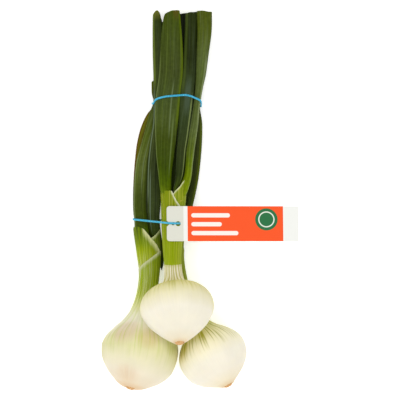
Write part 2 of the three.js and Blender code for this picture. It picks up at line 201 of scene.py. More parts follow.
# Each onion: its axis from the root to the mouth, its radius along that axis, and its colours by distance
# from the root in mm. A vein is an amount, a side that has more of them, and a colour. A stain is a place,
# a radius, a colour and an amount.
onions = {
    "front": {
        "axis": [
            [2.2, 7.8, 71.4], [0.5, 31, 62.4], [-1.7, 50, 53], [-2.9, 66, 43.8], [-3.1, 80, 36],
            [-2.8, 95, 30.2], [-2.5, 106, 27.6], [-2.3, 114, 26.4],
        ],
        "outline": [
            [0, 3.9], [3, 8.4], [8.5, 15.3], [16, 22.4], [25.4, 26.9], [33, 26.1], [39, 21.4],
            [42.5, 14.4], [45.5, 9.6], [49, 7.5], [55, 6.5], [63, 6.2], [79, 7.1], [95, 8.1], [118, 9.4],
        ],
        "flatness": 0.82, "mouthHeight": 0.92, "ribs": 24, "turn": 0.4,
        "mouth": {"depth": 11, "slant": 1, "notch": 3, "notchSide": 60},
        "stops": [
            (0, "ecd3a8"), (2, "f4e8cc"), (7, "f7f0dc"), (20, "f7f1de"), (28, "f0e9c4"), (34, "e4dda2"),
            (39, "d8d080"), (43, "d4cc82"), (47, "dcd5a0"), (53, "c9cf86"), (60, "92a812"), (72, "86a004"),
            (95, "829602"), (112, "7d8f02"), (122, "748602"),
        ],
        "streak": {"colour": "b8b44c", "amount": 0.7, "from": 29, "to": 42},
        "groove": {"colour": "beb04a", "amount": 0.85, "from": 38, "to": 46},
        "vein": (0.3, 0, "b2ba34"),
        "stains": [((30, 40, 60), 15, "d9d488", 0.5), ((-22, 42, 60), 14, "e0d690", 0.45)],
    },
    "left": {
        "axis": [
            [-33.7, -25.4, 30.4], [-27.2, 0, 27.1], [-25, 24, 23.6], [-21.6, 44, 20.2], [-20, 58, 18],
            [-20.6, 74, 15.6], [-21.6, 88, 13.8],
        ],
        "outline": [
            [0, 6.2], [1.6, 10.2], [5.3, 15.7], [9, 20.2], [17, 26.2], [29.5, 28.2], [34, 27.3],
            [39, 24.8], [44, 20], [49.3, 14.4], [54, 10.8], [59, 9], [67, 7.6], [82, 7.3], [98, 8.6],
            [115, 9.9],
        ],
        "flatness": 0.9, "mouthHeight": 0.68, "ribs": 26, "turn": 1.7,
        "mouth": {"depth": 12, "slant": -1, "notch": 8.5, "notchSide": 62},
        "stops": [
            (0, "e4c49a"), (3, "f0e0c4"), (10, "f3e9d0"), (19, "eee8c4"), (28, "e3dfac"), (36, "e6e0b6"),
            (42, "f8f1d8"), (50, "fbf6e0"), (57, "f4f1ca"), (63, "d8dc7c"), (74, "a2b222"), (92, "8ea20c"),
            (104, "7c9006"), (112, "5a7206"), (118, "42560a"),
        ],
        "streak": {"colour": "bccb4e", "amount": 0.42, "from": 17, "to": 36},
        "groove": {"colour": "7c900a", "amount": 0.6, "from": 54, "to": 70},
        "vein": (1.0, -1, "e2e2b0"),
        "stains": [
            ((-37, 17, 45), 15, "cdaf8e", 0.6), ((-38, -18, 50), 14, "e2c39c", 0.5),
            ((-50, 2, 30), 12, "cfc47c", 0.35), ((-4, 8, 40), 13, "b6b648", 0.6),
            ((-20, 12, 52), 12, "c6a458", 0.4),
        ],
    },
    "right": {
        "axis": [
            [37.6, -23.4, 27.4], [25.2, 0, 23.9], [15.6, 20, 21], [6, 40, 17.6], [0.8, 55, 15],
            [-1.6, 70, 13], [-1.4, 86, 12],
        ],
        "outline": [
            [0, 4.6], [1.4, 6.8], [4.6, 12.3], [8, 17.3], [15, 23.2], [25, 25.4], [31, 24.2], [35.5, 21.6],
            [40, 17.8], [44.5, 12.7], [49, 9.6], [54, 8], [62, 6.8], [76, 6.3], [92, 6.7], [112, 7.2],
        ],
        "flatness": 0.9, "mouthHeight": 0.75, "ribs": 22, "turn": 3.1,
        "mouth": {"depth": 11, "slant": 1, "notch": 3, "notchSide": 60},
        "stops": [
            (0, "ecd3a8"), (3, "f4e8cc"), (9, "f8f0dd"), (20, "f7f1de"), (27, "f6efd2"), (34, "f2ebc4"),
            (42, "e6dea2"), (50, "ccca6c"), (58, "a2ad3a"), (68, "8d9c22"), (84, "74861a"),
            (118, "5e7509"),
        ],
        "streak": {"colour": "9e9a0a", "amount": 0.95, "from": 26, "to": 40},
        "groove": {"colour": "8d951c", "amount": 0.65, "from": 40, "to": 50},
        "vein": (0.5, 0, "c0c060"),
        "stains": [((6, 4, 30), 15, "c8b43a", 0.75), ((14, 17, 40), 12, "c9c04a", 0.6)],
    },
}
# What the onions share, in mm and by distance from the root: the bulb passes into the neck between two
# distances, and the body lies inside the outline by trim, and by thinner too on the neck. A pucker has a
# height, a middle, a spread and a number round the neck, and a lobe a height and a number round the bulb.
# A point of the root's dish has a depth, a radius and the least gap to the brim.
bulb = {
    "rows": 150, "columns": 180, "neck": (42, 52), "trim": 0.2, "thinner": 0.25,
    "flatFrom": 0.45, "mouthFade": 30, "cupWall": 1.4,
    "ribHeight": 0.17, "pucker": (0.3, 46, 5, 15),
    "lobe": (0.1, 7), "lobeStart": (8, 20), "lobeEnd": (44, 30),
    "dish": [(1.0, 0.4, 0.4), (1.0, 2.2, 0.4), (0.95, 3.3, 0.35), (0.6, 3.9, 0.3), (0.15, 4.25, 0.15)],
}
# A skin, by its share of the way to its edge: it thins and curls over the last part. Its pale rim fades
# out over some degrees.
sheath = {"thinFrom": 0.85, "thinBy": 0.55, "curlFrom": 0.93, "curl": 0.12, "rimFade": 8}
farAway = 99  # the distance to a free edge where there is none


def onionPlace(onion, x, distance, z):
    # A point of the onion's axis at a distance from the root, x to its side and z upwards, both square to
    # the axis. Past the ends the axis runs straight on.
    line = curveThrough(onion["axis"])
    at = lengthsAlong(line)
    slope = np.gradient(line, at, axis=0)
    held = np.clip(distance, 0, at[-1])
    point = triples(*(np.interp(held, at, line[:, k]) for k in range(3)))
    along = triples(*(np.interp(held, at, slope[:, k]) for k in range(3)))
    along /= np.linalg.norm(along, axis=-1)[..., None]
    side = np.cross(along, [0, 0, 1.0])
    side /= np.linalg.norm(side, axis=-1)[..., None]
    upward = np.cross(side, along)
    return point + side * x[..., None] + upward * z[..., None] + along * (distance - held)[..., None]


def axisLength(onion):
    # the length of the onion's axis from the root to the mouth: the sum of its curve's steps
    return lengthsAlong(curveThrough(onion["axis"]))[-1]


def ribsAt(onion, angle):
    # The crests of the ribs, from -1 to 1: a cosine of the angle, which two sines shift to and fro, times
    # a height that a third sine varies. The shifted angle comes back too.
    turn = onion["turn"]
    uneven = angle + 0.07 * np.sin(3 * angle + turn) + 0.03 * np.sin(8 * angle + 2 * turn)
    return uneven, np.cos(onion["ribs"] * uneven) * (0.75 + 0.25 * np.sin(5 * angle + turn))


def onionSkin(onion, angle, distance, radius, rim=1.0):
    # The skin at an angle round the axis: the radius plus uneven ribs along the neck, which gather into
    # puckers at the shoulder, flattened a little towards the mouth, whose edge slants and has a notch.
    length, turn, mouth = axisLength(onion), onion["turn"], onion["mouth"]
    uneven, rib = ribsAt(onion, angle)
    neck = bulb["ribHeight"] * smooth(*bulb["neck"], distance) * rib
    height, middle, spread, count = bulb["pucker"]
    pucker = height * np.exp(-(((distance - middle) / spread) ** 2)) * np.cos(count * uneven + turn)
    height, count = bulb["lobe"]
    lobe = height * smooth(*bulb["lobeStart"], distance) * smooth(*bulb["lobeEnd"], distance)
    bumped = radius + (neck + pucker + lobe * np.cos(count * uneven)) * np.minimum(1, radius / 4)
    flat = 1 - (1 - onion["flatness"]) * smooth(bulb["flatFrom"] * length, length, distance)
    flat = flat * (1 - (1 - onion["mouthHeight"]) * smooth(length - bulb["mouthFade"], length, distance))
    inNotch = np.maximum(0, np.cos(angle - np.radians(mouth["notchSide"]))) ** 4
    slope = mouth["slant"] * np.cos(angle + np.pi) - mouth["notch"] * inNotch
    edge = rim * smooth(length - mouth["depth"], length, distance) * np.minimum(1, radius / 3) * slope
    return onionPlace(onion, bumped * np.cos(angle), distance + edge, bumped * np.sin(angle) * flat)


def outlineRadius(onion, distance):
    # the radius at a distance from the root, read off the curve through the outline's points
    line = curveThrough(onion["outline"])
    return np.interp(distance, line[:, 0], line[:, 1])


def onionBody(name, onion, material):
    # The bulb with its inner sheath: the outline turned round the axis, from the dish under the root plate
    # to the mouth's rim and down into the mouth. The neck is a wall thinner than the outline, so that the
    # outer skins lie on it.
    length, depth = axisLength(onion), onion["mouth"]["depth"]
    outline = curveThrough([p for p in onion["outline"] if p[0] < length - 4])
    outline = np.vstack([outline, [length, outlineRadius(onion, length)]])
    outline[:, 1] -= bulb["trim"] + bulb["thinner"] * smooth(*bulb["neck"], outline[:, 0])
    brim, end = outline[0, 1], outline[-1, 1]
    dish = [[inward, min(radius, brim - gap)] for inward, radius, gap in bulb["dish"]]
    rim = [[length + 0.25, end - 0.15], [length + 0.3, end - 0.4], [length + 0.1, end - 0.65]]
    down = [length - depth * t for t in (0.15, 0.5, 1)]
    cup = [[d, outlineRadius(onion, d) - bulb["cupWall"]] for d in down]
    floor = [[length - depth, 4.0], [length - depth, 0.5]]
    profile = np.vstack([dish, evenSteps(outline, bulb["rows"]), rim, cup, floor])
    angle, distance = around(bulb["columns"]), profile[:, :1]
    rings = onionSkin(onion, angle, distance, profile[:, 1:])
    rings[..., 2] = np.maximum(rings[..., 2], 0)  # the surface presses a flat spot into a low bulb
    skin = triples(np.cos(angle), np.sin(angle), distance)
    near = triples(farAway, ribsAt(onion, angle)[1], 0)
    piece = ringMesh(f"onion_{name}_skin", rings, material, [("skin", skin), ("near", near)])
    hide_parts(f"onion_{name}")
    return rings[len(dish) : len(dish) + bulb["rows"]]


def outerSkin(name, onion, shape, material):
    # A skin that wraps the neck from a start to a free edge. The edge's distance from the root is a smooth
    # function of the angle. The skin lifts off towards the edge, thins out and curls over it.
    angle = around(bulb["columns"])
    degrees = np.degrees(angle)
    table = shape["edge"]
    looped = [[a - 360, d] for a, d in table] + table + [[a + 360, d] for a, d in table]
    edge = tableAt(looped, degrees)[..., 1]
    edge = edge + shape["ragged"] * np.sin(23 * angle) * np.sin(5 * angle + 1)
    t = np.linspace(0, 1, shape["rows"])[:, None]
    out = shape["start"] + (edge - shape["start"]) * t
    lift = shape["lift"][0] + (shape["lift"][1] - shape["lift"][0]) * smooth(0, shape["settle"], t)
    lift = lift + sheath["curl"] * smooth(sheath["curlFrom"], 1, t)
    thick = shape["thick"] * (1 - sheath["thinBy"] * smooth(sheath["thinFrom"], 1, t))
    distance = np.vstack([out, edge + sheath["curl"], out[::-1]])
    offset = np.vstack([lift, (lift - thick / 2)[-1:], (lift - thick)[::-1]])
    radius = outlineRadius(onion, np.minimum(distance, axisLength(onion))) + offset
    rings = onionSkin(onion, angle, distance, radius, rim=0.0)
    (first, last), fade = shape["paleRim"], sheath["rimFade"]
    pale = smooth(first - fade, first, degrees) * (1 - smooth(last, last + fade, degrees))
    skin = triples(np.cos(angle), np.sin(angle), distance)
    near = triples(edge - distance, ribsAt(onion, angle)[1], pale)
    return ringMesh(name, rings, material, [("skin", skin), ("near", near)], looped=True)


def onionMaterial(name, onion, edge=None):
    # Fresh onion skin: wet, waxy living layers, smooth from growing. Cream with faint veins from root to
    # neck, green where the light reached it, with a soft gloss and light that goes a little way in.
    material, add, shader = newMaterial(name, {
        "Roughness": 0.42, "IOR": 1.42, "Specular IOR Level": 0.07,
        "Subsurface Weight": 0.1, "Subsurface Radius": (1.0, 0.8, 0.4), "Subsurface Scale": 0.002,
    })
    skin = add("Attribute", attribute_name="skin").outputs["Vector"]
    sideways, _, away = add("SeparateXYZ", [skin]).outputs  # away is the distance from the root, mm
    near = add("Attribute", attribute_name="near").outputs["Vector"]
    toEdge, crest, paleRim = add("SeparateXYZ", [near]).outputs
    place = add("TexCoord").outputs["Object"]
    # strands about 35 to a turn, veins about 80 to a turn
    broad = add("VectorMath MULTIPLY", [skin, (12, 12, 0.02)])
    strand = add("TexNoise", {"Vector": broad, "Scale": 1, "Detail": 2})
    fine = add("VectorMath MULTIPLY", [skin, (26, 26, 0.03)])
    fibre = add("TexNoise", {"Vector": fine, "Scale": 1, "Detail": 3})
    mixed = add("Mix", [0.45, strand, fibre])
    # the colours change along the skin, further on some strands than on others
    spread = add("MapRange", [away, 14, 44, 1, 14])
    centred = add("Math SUBTRACT", [mixed, 0.5])
    along = add("Math MULTIPLY_ADD", [centred, spread, away])
    rampLength = 130
    scaled = add("Math DIVIDE", [along, rampLength])
    colour = add("ValToRGB", [scaled], [(d / rampLength, c) for d, c in onion["stops"]])
    for spot, radius, tint, amount in onion["stains"]:  # broad tints of the skin, soft at their edges
        far = add("VectorMath DISTANCE", [place, tuple(toFrame(spot))])
        soft = add("MapRange SMOOTHSTEP", [far, radius * mm, 0.3 * radius * mm, 0, amount])
        broken = add("Math MULTIPLY", [soft, mixed])
        doubled = add("Math MULTIPLY", [broken, 1.8])
        colour = add("Mix RGBA", [doubled, colour, linear(tint)])
    # green strands that fade out over the shoulder
    streak = onion["streak"]
    rise = add("MapRange", [along, streak["from"], streak["to"]])
    thread = add("MapRange", [mixed, 0.5, 0.58, 0, streak["amount"]])
    shown = add("Math MULTIPLY", [rise, thread])
    green = add("Mix RGBA", [shown, colour, linear(streak["colour"])])
    # grooves between the ribs of the neck
    groove = onion["groove"]
    onNeck = add("MapRange", [away, groove["from"], groove["to"], 0, groove["amount"]])
    low = add("MapRange SMOOTHSTEP", [crest, 0.25, -0.55])
    deep = add("Math MULTIPLY", [onNeck, low])
    grooved = add("Mix RGBA", [deep, green, linear(groove["colour"])])
    # pale veins on the green part of the neck, all round or more of them on one side
    amount, side, tint = onion["vein"]
    upNeck = add("MapRange", [away, 52, 64, 0, amount])
    bright = add("MapRange", [fibre, 0.5, 0.6])
    sided = add("Math MULTIPLY_ADD", [sideways, 0.8 * side, 1 - 0.5 * abs(side)], use_clamp=True)
    onSide = add("Math MULTIPLY", [bright, sided])
    fewer = add("MapRange", [away, 88, 102, 1, 0])
    faded = add("Math MULTIPLY", [onSide, fewer])
    pale = add("Math MULTIPLY", [upNeck, faded])
    veined = add("Mix RGBA", [pale, grooved, linear(tint)])
    # the whole skin is a little uneven in tone and finely fibrous, and on the left onion the neck has
    # painted light and shade: lighter on its left side, darker on its right
    cloud = add("TexNoise", {"Vector": place, "Scale": 55, "Detail": 3})  # clouds 18 mm wide
    tone = add("MapRange", [cloud, 0.3, 0.7, 0.95, 1.02])
    hair = add("MapRange", [fibre, 0.3, 0.7, 0.93, 1.04])
    ribbed = add("MapRange", [away, 15, 50, 0.15])
    fibrous = add("Mix", [ribbed, 1, hair])
    both = add("Math MULTIPLY", [tone, fibrous])
    # painted shade on one side of the neck and painted light on the other, up the neck from 46 mm
    aside = add("MapRange", [sideways, -1, 1, 1 - 0.1 * side, 1 + 0.3 * side])
    upward = add("MapRange", [away, 46, 64])
    paintedSideShade = add("Mix", [upward, 1, aside])
    shade = add("Math MULTIPLY", [both, paintedSideShade])
    last = add("VectorMath SCALE", [veined, shade])
    if edge:  # the dry, pale margin along the free edge, drawn out into teeth
        teeth = edge["teeth"]
        rough = add("Math MULTIPLY_ADD", [mixed, -teeth, toEdge])
        reach = edge["width"] - 0.5 * teeth
        at = add("MapRange SMOOTHSTEP", [rough, reach, -0.5 * teeth, 0, edge["amount"]])
        kept = add("Math MULTIPLY", [at, paleRim])
        last = add("Mix RGBA", [kept, last, linear(edge["colour"])])
    relief = add("Bump", {"Height": fibre, "Strength": 0.1, "Distance": 0.25 * mm})
    setInputs(shader, {"Base Color": last, "Normal": relief})
    return material


# Each outer skin: where it starts, how far it lies off the outline at its start and its edge, and its free
# edge as angle in degrees and distance from the root. Its pale rim shows between two angles.
skins = {
    "front_sheath_inner": {
        "onion": "front", "start": 80, "rows": 50, "lift": (-0.45, -0.3), "settle": 0.15, "thick": 0.3,
        "ragged": 0.05, "paleRim": (38, 92),
        "groove": {"colour": "6a8204", "amount": 0.5, "from": 56, "to": 66},
        "edge": [
            [0, 127], [20, 128], [36, 127.5], [60, 123], [84, 119], [92, 117], [120, 112], [180, 110],
            [270, 112], [320, 120],
        ],
        "stops": [(95, "829602"), (112, "7c8e02"), (122, "788c02"), (130, "728a02")],
        "rim": {"colour": "d6d8a4", "width": 2.2, "teeth": 0.5, "amount": 0.95},
    },
    "front_sheath": {
        "onion": "front", "start": 50, "rows": 60, "lift": (-0.4, -0.05), "settle": 0.15, "thick": 0.4,
        "ragged": 0.05, "paleRim": (40, 97),
        "groove": {"colour": "6a8204", "amount": 0.5, "from": 56, "to": 66},
        "edge": [
            [0, 102], [30, 104.5], [60, 109], [84, 114.5], [97, 118.8], [101, 119.3], [120, 119.4],
            [150, 119.5], [180, 119.5], [230, 117], [290, 108],
        ],
        "stops": [
            (50, "c9cf86"), (57, "9eb012"), (64, "95a804"), (80, "8ea002"), (98, "8d9b02"),
            (112, "829002"), (122, "7a8a02"),
        ],
        "rim": {"colour": "e0e2bc", "width": 3.4, "teeth": 0.8, "amount": 1.0},
    },
    "front_collar": {
        "onion": "front", "start": 40, "rows": 50, "lift": (-0.3, 0.1), "settle": 0.35, "thick": 0.25,
        "ragged": 0.25, "paleRim": (-10, 370),
        "edge": [
            [0, 62.6], [25, 61], [60, 59.2], [90, 58.5], [120, 59.4], [155, 61.4], [180, 63], [225, 61],
            [270, 59], [315, 60],
        ],
        "stops": [
            (38, "dcd592"), (42, "e2d998"), (46, "f2eabe"), (52, "f6f0d4"), (60, "f4efd2"),
            (66, "f2eed2"),
        ],
        "rim": {"colour": "b9b850", "width": 3.0, "teeth": 4.0, "amount": 0.45},
    },
    "left_sheath_core": {
        "onion": "left", "start": 90, "rows": 40, "lift": (-0.45, -0.3), "settle": 0.2, "thick": 0.35,
        "ragged": 0.15, "paleRim": (10, 90),
        "edge": [
            [0, 117], [22, 116.3], [50, 113], [72, 110.8], [84, 110.6], [100, 113], [140, 115], [180, 115],
            [270, 114],
        ],
        "stops": [(100, "6b7e0a"), (112, "56690a"), (122, "4a5c0c")],
        "rim": {"colour": "b9bf86", "width": 3.4, "teeth": 2.2, "amount": 0.95},
    },
    "left_sheath_inner": {
        "onion": "left", "start": 70, "rows": 50, "lift": (-0.4, -0.15), "settle": 0.2, "thick": 0.4,
        "ragged": 0.1, "paleRim": (5, 104),
        "edge": [
            [0, 99.5], [23, 101.8], [50, 106.4], [75, 110.8], [102, 117.2], [125, 119.5], [150, 120],
            [180, 119], [230, 112], [300, 101],
        ],
        "stops": [
            (96, "a2ae0b"), (102, "96a506"), (107, "738804"), (111, "5b7004"),
            (115, "4a5e06"), (120, "3d4f0a"),
        ],
        "rim": {"colour": "d6d69c", "width": 7.5, "teeth": 5.0, "amount": 0.9},
    },
    "left_sheath_outer": {
        "onion": "left", "start": 46, "rows": 60, "lift": (-0.4, 0.05), "settle": 0.2, "thick": 0.4,
        "ragged": 0.15, "paleRim": (-10, 370),
        "edge": [
            [0, 101], [25, 101], [60, 97.8], [89, 94.8], [120, 92], [151, 89.5], [180, 88.5], [230, 90],
            [300, 97],
        ],
        "stops": [
            (46, "faf4dc"), (53, "f6f2d0"), (59, "e4e49c"), (67, "b2bf32"), (76, "98ab10"),
            (96, "8ba006"), (104, "8ca00a"),
        ],
        "rim": {"colour": "cdcfa4", "width": 4.0, "teeth": 2.4, "amount": 0.9},
    },
    "right_sheath": {
        "onion": "right", "start": 50, "rows": 50, "lift": (-0.4, 0.0), "settle": 0.2, "thick": 0.4,
        "ragged": 0.15, "paleRim": (60, 370),
        "edge": [[0, 108], [60, 112], [120, 108], [180, 100], [240, 98], [300, 102]],
        "stops": [
            (50, "bfc05f"), (58, "a2ad3a"), (68, "8d9c22"), (84, "74861a"), (112, "5e7509"),
        ],
        "rim": {"colour": "c6c98e", "width": 2.4, "teeth": 1.4, "amount": 0.8},
    },
}
necks = []
for name, onion in onions.items():
    bodyMaterial = onionMaterial(f"fresh onion skin, {name}", onion)
    necks.append(onionBody(name, onion, bodyMaterial))
for name, shape in skins.items():
    onion = onions[shape["onion"]]
    growth = {**onion, "stops": shape["stops"], "groove": shape.get("groove", onion["groove"])}
    finish = onionMaterial(f"leaf sheath, {name}", growth, shape["rim"])
    outerSkin(name, onion, shape, finish)
print("onions and their outer skins made")

# The cut roots, a low corky button in the dish at the base of each bulb. A ring of stubs has their number,
# a turn, and its place and spread as shares of the radius.
root = {
    "dishDepth": 1.0, "clearance": 0.35, "radius": 3.2, "height": 0.9, "columns": 96, "rings": 26,
    "stubHeight": 0.18, "stubRings": [(14, 0, 0.82, 0.1), (7, 1, 0.5, 0.12)],
}


def rootMaterial():
    # Cut root plate: dry, corky stem tissue, sawn off. Tan with darker ends of roots, rough and dull.
    material, add, shader = newMaterial("cut root plate", {"Roughness": 0.85, "Specular IOR Level": 0.2})
    place = add("TexCoord").outputs["Object"]
    grain = add("TexVoronoi", {"Vector": place, "Scale": 1400})  # root ends about 0.7 mm apart
    base = add("ValToRGB", [grain], [(0.1, "b9824a"), (0.45, "dcaa70"), (0.9, "efcb9c")])
    relief = add("Bump", {"Height": grain, "Strength": 0.5, "Distance": 0.3 * mm})
    setInputs(shader, {"Base Color": base, "Normal": relief})
    return material


def rootPlate(name, onion, material):
    # A low button on the axis's start: its height falls off with the fourth power of the radius, and rings
    # of short root stubs stand out of it as cosines of the angle, each under a bell curve of the radius.
    floor = root["dishDepth"] - root["clearance"]
    angle = around(root["columns"])
    share = np.linspace(0.06, 1, root["rings"])[:, None]
    stub = 0
    for count, turn, place, spread in root["stubRings"]:
        stub = stub + np.cos(count * angle + turn) * np.exp(-(((share - place) / spread) ** 2))
    top = (root["dishDepth"] + root["height"] - floor) * (1 - share**4)
    top = top + root["stubHeight"] * stub * (share > 0.2)
    distance = np.vstack([-top + 0.1, floor + 0 * angle, floor + 0 * angle])
    radius = root["radius"] * np.vstack([share, [[1], [0.1]]])
    rings = onionPlace(onion, radius * np.cos(angle), distance, radius * np.sin(angle))
    piece = ringMesh(f"root_{name}_cut", rings, material)
    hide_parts(f"root_plate_{name}")


rootFinish = rootMaterial()
for name, onion in onions.items():
    rootPlate(name, onion, rootFinish)
print("root plates made")
